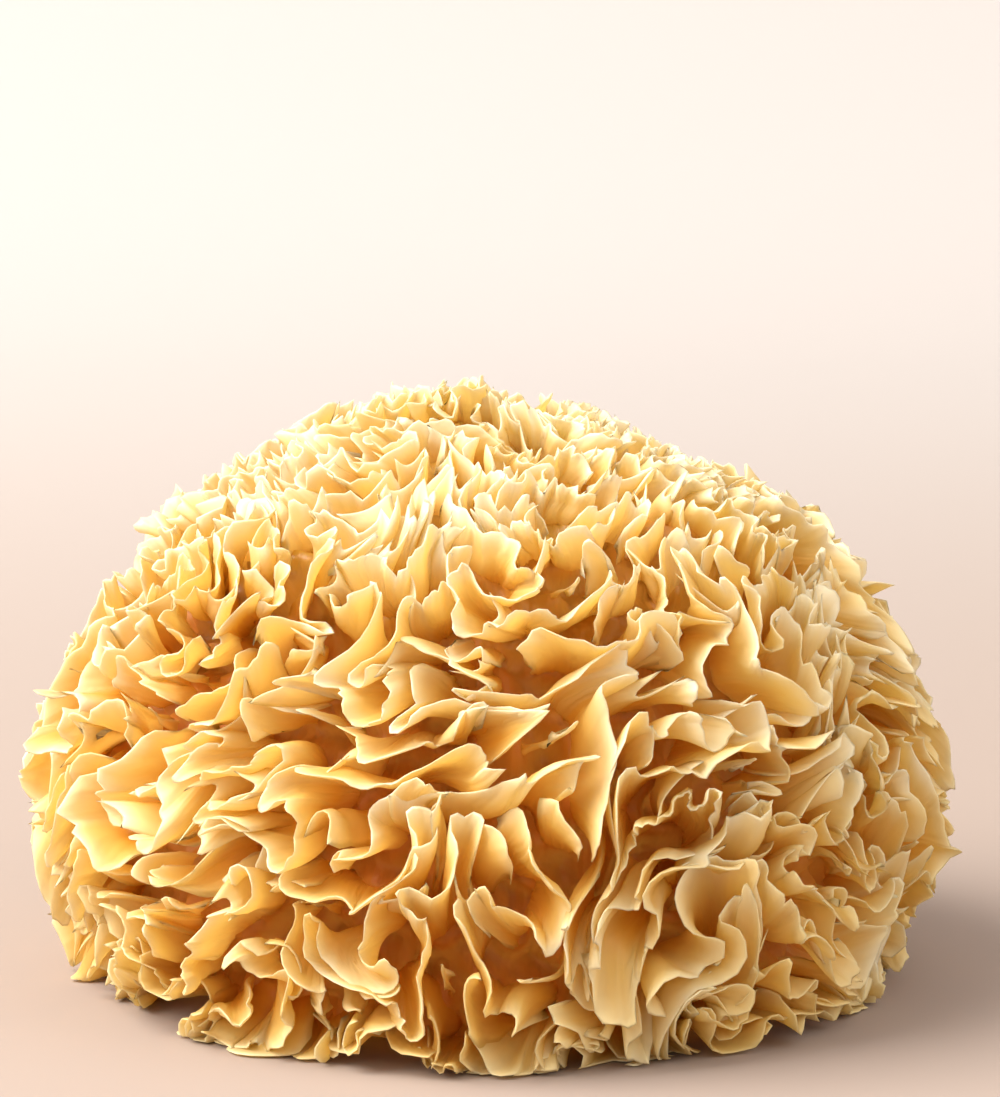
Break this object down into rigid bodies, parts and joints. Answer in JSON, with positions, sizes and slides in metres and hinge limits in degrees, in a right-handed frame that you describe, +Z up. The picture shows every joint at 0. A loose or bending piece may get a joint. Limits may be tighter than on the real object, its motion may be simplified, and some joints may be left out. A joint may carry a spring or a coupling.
{
  "type": "snow fungus",
  "caption": "Fresh snow fungus head: a low dome of thin ruffled translucent fronds, cut off flat underneath so that it rests on its base.",
  "frame": {"origin": "on the surface that the fungus rests on, at the middle of its bounding box seen from above", "axes": "+Z up; -Y towards the side seen in the picture; +X to that side's right"},
  "size_m": [0.1528, 0.1506, 0.0981],
  "materials": {
    "fungus_flesh": "moist translucent jelly flesh, pale cream at the rims and amber deep between them"
  },
  "bodies": {
    "root": {"snow_fungus": "fungus_flesh"}
  },
  "joints": []
}
